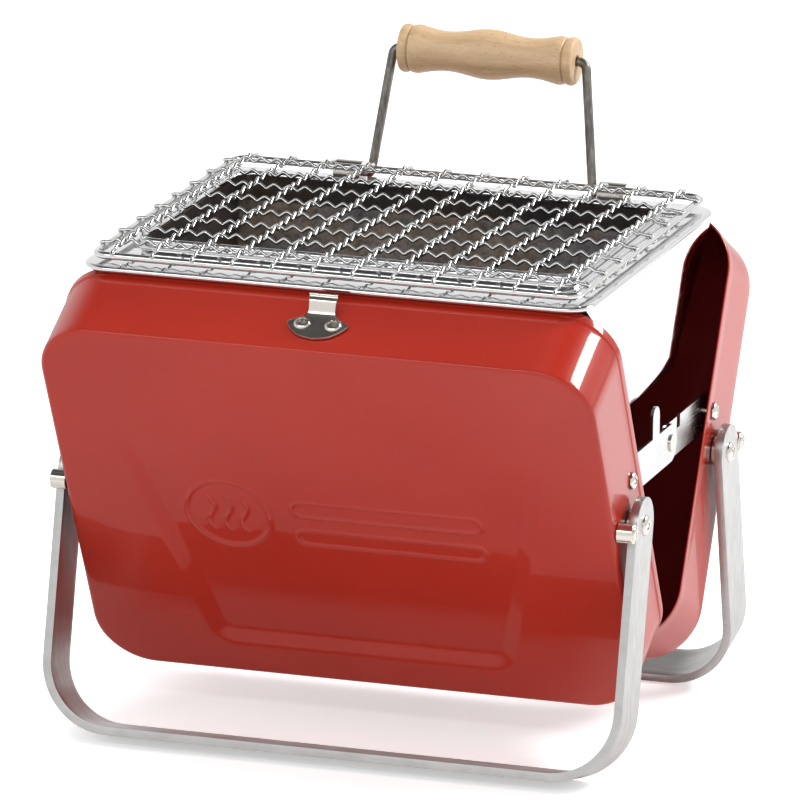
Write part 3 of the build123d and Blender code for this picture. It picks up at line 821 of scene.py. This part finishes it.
# ---- screws ---------------------------------------------------------------------------
def pan_head(radius, height, rings=34, spokes=96):
    """A pan head on z = 0 with a cross recess, closed underneath."""
    arm, half, deep = 0.50 * radius, 0.12 * radius, 0.62 * height
    vertices = [(0, 0, height - deep)]
    for i in range(1, rings + 1):
        r = radius * (i / rings) ** 0.9
        for k in range(spokes):
            a = 2 * pi * k / spokes
            x, y = r * cos(a), r * sin(a)
            z = height * max(0.0, 1 - (r / radius) ** 2.2) ** (1 / 1.8)
            across, along = sorted((abs(x), abs(y)))
            wall = min((half - across) / (0.05 * radius), (arm - along) / (0.10 * radius))
            cut = min(1.0, max(0.0, wall + 0.5))
            z -= cut * deep * (1 - 0.55 * along / arm)
            vertices.append((x, y, z))
    faces = [(0, 1 + k, 1 + (k + 1) % spokes) for k in range(spokes)]
    faces += grid_faces(rings, spokes, closed=True, start=1)
    last = 1 + (rings - 1) * spokes
    faces.append(tuple(last + k for k in reversed(range(spokes))))
    return vertices, faces


def fasteners(name, node, matrix, axis, body, head_height):
    """Screws with cross recesses in place of the node's plain ones."""
    parts = []
    for low, high in solid_boxes(node, matrix):
        centre = (low + high) / 2
        if axis == "X":
            side = 1 if centre.x > 0 else -1
            radius = (high.z - low.z) / 2
            outer = high.x if side > 0 else -low.x
            length = high.x - low.x
            turn = Matrix.Rotation(side * pi / 2, 4, "Y")
            spot = Vector((side * (outer - head_height), centre.y, centre.z))
        else:
            radius = (high.x - low.x) / 2
            length = high.z - low.z
            turn = Matrix.Rotation(0.4 if centre.x > 0 else 0.9, 4, "Z")
            spot = Vector((centre.x, centre.y, high.z - head_height))
        place = matrix @ Matrix.Translation(spot) @ turn
        parts.append(move(pan_head(radius, head_height), place))
        stem = 0.38 * radius
        tail = -(length - head_height)
        nut = 0.72 * radius
        profile = [(0, -0.01 * MM), (stem, -0.01 * MM), (stem, tail + 1.0 * MM), (nut, tail + 1.0 * MM),
                   (nut, tail + 0.1 * MM), (nut - 0.1 * MM, tail), (0, tail)]
        parts.append(move(revolve(profile, 24), place))
    vertices, faces = join(parts)
    piece = make_object(name, vertices, faces, [NICKEL], 40)
    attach(piece, body)
    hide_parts(node)


# ---- latch keeper ---------------------------------------------------------------------
def keeper():
    """A half-moon plate on the top wall whose neck rises into a hooked tongue."""
    low, high = local_box("latch_keeper", FRONT)
    radius = (high.x - low.x) / 2
    foot, wall_z = -low.y, low.z
    thick = 1.1 * MM
    bend = foot - radius
    rise = [(0.0, 0.05), (2.2, 0.9), (4.4, 3.2), (6.6, 5.4), (8.2, 6.0), (9.0, 6.7), (8.7, 7.4)]
    route = [(foot, 0.0), (foot - 0.5 * radius, 0.0)]
    route += [(bend - a * MM, z * MM) for a, z in rise]
    path = spline(route, 6)
    travel, stations = 0.0, []
    for i, p in enumerate(path):
        if i:
            travel += (p - path[i - 1]).length
        beyond = travel - KEEPER_ARC
        if beyond < 0:
            arc = (radius**2 + KEEPER_ARC**2) / (2 * KEEPER_ARC)
            half = sqrt(max(0.0, arc**2 - (arc - travel) ** 2))
        else:
            neck = 7.2 * MM + 0.10 * max(0.0, beyond - 11 * MM)
            half = neck + (radius - neck) * max(0.0, 1 - beyond / (7.5 * MM)) ** 1.7
        stations.append((p, half))
    across = np.linspace(-1, 1, 17)
    vertices = []
    for p, half in stations:
        for v in across:
            vertices.append(FRONT @ Vector((half * v, -p.x, wall_z + thick + p.y)))
    faces = grid_faces(len(stations), len(across))
    piece = make_object("hooked_keeper", vertices, faces, [NICKEL], 60)
    on_plate = FRONT @ Vector((0, -foot + radius / 2, wall_z + thick))
    face_out(piece, on_plate, FRONT.to_3x3() @ Vector((0, 0, 1)))
    solidify(piece, thick)
    bevel(piece, 0.25 * MM, 2, 60)
    apply_modifiers(piece)
    tidy_mesh(piece, 45)
    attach(piece, "front_case")
    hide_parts("latch_keeper")


# ---- finishes of the nodes that stay ---------------------------------------------------
def finish_nodes():
    """Procedural materials for the CAD nodes that no piece replaces."""
    finishes = {
        ZINC: ["front_hinge_leaf", "rear_hinge_leaf", "hinge_pin", "front_hinge_rivets",
               "rear_hinge_rivets", "saddle_rivets", "latch_rivets", "latch_pin"],
        NICKEL: ["handle_saddles", "latch_base", "latch_lever", "latch_loop", "front_leg_washers",
                 "rear_leg_washers", "front_stop_pins", "rear_stop_pins", "right_stay_rivet",
                 "left_stay_rivet"],
        STAY: ["right_front_stay", "left_front_stay", "right_rear_stay", "left_rear_stay"],
        BURNT: ["firebox_tray"],
        BLACK: ["charcoal_grate"],
        CHROME: ["grate_frame_rod"],
        STEEL: ["handle_wire"],
    }
    for material, nodes in finishes.items():
        for node in nodes:
            mesh = frame["nodes"][node].data
            mesh.materials.clear()
            mesh.materials.append(material)


# ---- stage ----------------------------------------------------------------------------
def stage():
    """The floor."""
    bpy.ops.mesh.primitive_plane_add(size=14, location=(0, 2.0, 0))
    floor = bpy.context.object
    floor.name = "floor"
    floor.data.materials.append(pale_floor("pale_floor"))


def area(name, position, target, size, power, glossy=True):
    light = bpy.data.lights.new(name, "AREA")
    light.shape = "RECTANGLE"
    light.size, light.size_y = size
    light.energy = power
    holder = bpy.data.objects.new(name, light)
    bpy.context.scene.collection.objects.link(holder)
    holder.location = position
    holder.rotation_euler = (Vector(target) - Vector(position)).to_track_quat("-Z", "Y").to_euler()
    holder.visible_glossy = glossy
    return holder


def lighting():
    """White surroundings that darken overhead, a softbox behind and broad fills."""
    world = bpy.data.worlds.new("studio")
    bpy.context.scene.world = world
    world.use_nodes = True
    tree = world.node_tree
    place = tree.nodes.new("ShaderNodeTexCoord")
    split = tree.nodes.new("ShaderNodeSeparateXYZ")
    ramp = tree.nodes.new("ShaderNodeValToRGB")
    tree.links.new(place.outputs["Generated"], split.inputs["Vector"])
    tree.links.new(split.outputs["Z"], ramp.inputs["Fac"])
    stops = [(0.0, 1.0), (0.42, 1.0), (0.62, 0.42), (0.80, 0.06), (0.93, 0.10), (1.0, 0.40)]
    points = ramp.color_ramp.elements
    while len(points) < len(stops):
        points.new(0.5)
    for point, (at, value) in zip(points, stops):
        point.position = at
        point.color = (value, value, value, 1)
    background = tree.nodes["Background"]
    tree.links.new(ramp.outputs["Color"], background.inputs["Color"])
    background.inputs["Strength"].default_value = 1.0
    target = (0, 0, 0.15)
    area("softbox", (1.30, 0.95, 1.35), target, (0.75, 0.55), 34)
    area("overhead", (-0.4, -0.3, 2.4), target, (2.4, 2.0), 37, glossy=False)
    area("front_strip", (-0.2, -2.3, 1.75), target, (3.2, 0.30), 17)


def camera():
    """The photograph's angle: a long lens from the front right, a little above."""
    azimuth, elevation, roll = radians(18.12), radians(14.90), radians(0.54)
    distance, aim = 5.310, Vector((-0.0003, HINGE.y, 0.1702))
    back = Vector((sin(azimuth) * cos(elevation), -cos(azimuth) * cos(elevation), sin(elevation)))
    right = Vector((cos(azimuth), sin(azimuth), 0))
    up = back.cross(right)
    tilted = right * cos(roll) + up * sin(roll)
    upright = up * cos(roll) - right * sin(roll)
    data = bpy.data.cameras.new("camera")
    data.sensor_width = 36
    data.lens = 450
    data.clip_end = 50
    holder = bpy.data.objects.new("camera", data)
    bpy.context.scene.collection.objects.link(holder)
    turn = Matrix((tilted, upright, back)).transposed().to_4x4()
    holder.matrix_world = Matrix.Translation(aim + back * distance) @ turn
    bpy.context.scene.camera = holder


# ---- assembly -------------------------------------------------------------------------
half_shell("pressed_front_shell", "front_shell", FRONT, "front_case", FRONT_STEP, True)
half_shell("pressed_rear_shell", "rear_shell", REAR, "rear_case", REAR_STEP, False)
strap_leg("front_strap_leg", "front_leg", "front_leg_swing", -LEG_SPLAY, "front_leg")
strap_leg("rear_strap_leg", "rear_leg", "rear_leg_swing", LEG_SPLAY, "rear_leg")
top_frame()
side_skirts()
grate_wires("crimped_cross_wires", "grate_cross_wires", False)
grate_wires("crimped_long_wires", "grate_long_wires", True)
grip()
for half, matrix, body in (("front", FRONT, "front_case"), ("rear", REAR, "rear_case")):
    for kind, head in (("leg", 2.3 * MM), ("stop", 1.4 * MM), ("stay", 2.0 * MM)):
        fasteners(f"{half}_{kind}_cross_screws", f"{half}_{kind}_screws", matrix, "X", body, head)
fasteners("keeper_cross_screws", "keeper_screws", FRONT, "Z", "front_case", 2.0 * MM)
keeper()
finish_nodes()
stage()
lighting()
camera()
bpy.context.scene.view_settings.view_transform = "Standard"
bpy.context.scene.view_settings.look = "None"
